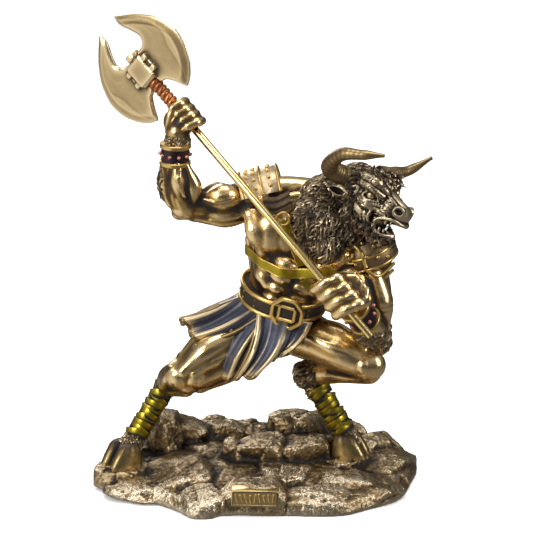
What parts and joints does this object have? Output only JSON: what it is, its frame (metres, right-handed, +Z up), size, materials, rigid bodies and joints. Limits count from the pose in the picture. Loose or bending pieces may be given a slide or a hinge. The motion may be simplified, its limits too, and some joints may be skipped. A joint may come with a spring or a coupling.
{
  "type": "minotaur statue",
  "caption": "Standing minotaur figure in antique bronze, lunging over a rocky oval base and gripping a long double-bladed battle axe in both fists.",
  "frame": {"origin": "middle of the base's flat underside", "axes": "+Z up through the figure, -Y towards the front with the name tablet, +X towards the side that the bull's head faces"},
  "size_m": [0.1945, 0.124, 0.2731],
  "materials": {
    "figure": "antique bronze patina, dark in the hollows and rubbed bright on the ridges",
    "base": "brown bronze patina with bright rubbed stone edges",
    "axe_head": "satin pale brass",
    "shaft": "polished gold brass"
  },
  "bodies": {
    "root": {"minotaur": "figure", "rock_base": "base", "axe_head": "axe_head", "axe_shaft": "shaft"}
  },
  "joints": []
}
